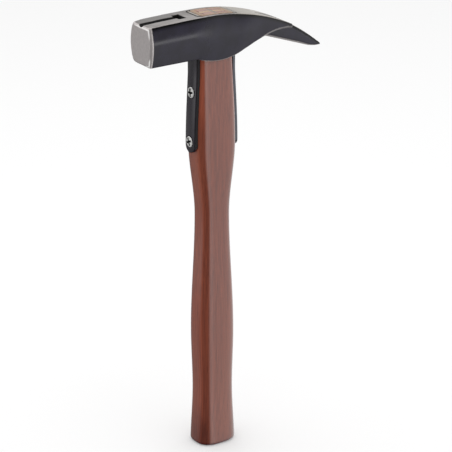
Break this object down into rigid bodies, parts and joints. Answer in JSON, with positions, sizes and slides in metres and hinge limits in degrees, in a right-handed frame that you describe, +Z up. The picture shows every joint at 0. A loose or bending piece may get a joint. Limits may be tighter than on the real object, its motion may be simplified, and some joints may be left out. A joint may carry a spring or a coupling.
{
  "type": "lath hammer",
  "caption": "Roofer's lath hammer: square poll with nail groove, split claw with long pick, hickory handle tied to the eye by screwed steel straps.",
  "frame": {"origin": "centre of the flat butt of the handle", "axes": "+Z up the handle towards the head, +X towards the claw and the pick, -X the way the striking face looks, +Y the side of the pick"},
  "size_m": [0.155, 0.0276, 0.3262],
  "materials": {
    "head_steel": "dark charcoal lacquer on the forged sides, bright grinding on the striking face and the top",
    "magnet": "nickel-plated magnet",
    "handle_wood": "red-brown stained hickory under clear lacquer",
    "wedge_wood": "bare hardwood, ground flush",
    "wedge_steel": "ground flush with the top of the head",
    "strap_steel": "satin black lacquer",
    "screw_steel": "bright zinc plating"
  },
  "bodies": {
    "root": {"head": "head_steel", "nail_magnet": "magnet", "handle": "handle_wood", "wood_wedge": "wedge_wood", "steel_wedge": "wedge_steel", "front_strap": "strap_steel", "rear_strap": "strap_steel", "front_upper_screw": "screw_steel", "front_lower_screw": "screw_steel", "rear_upper_screw": "screw_steel", "rear_lower_screw": "screw_steel"}
  },
  "joints": []
}
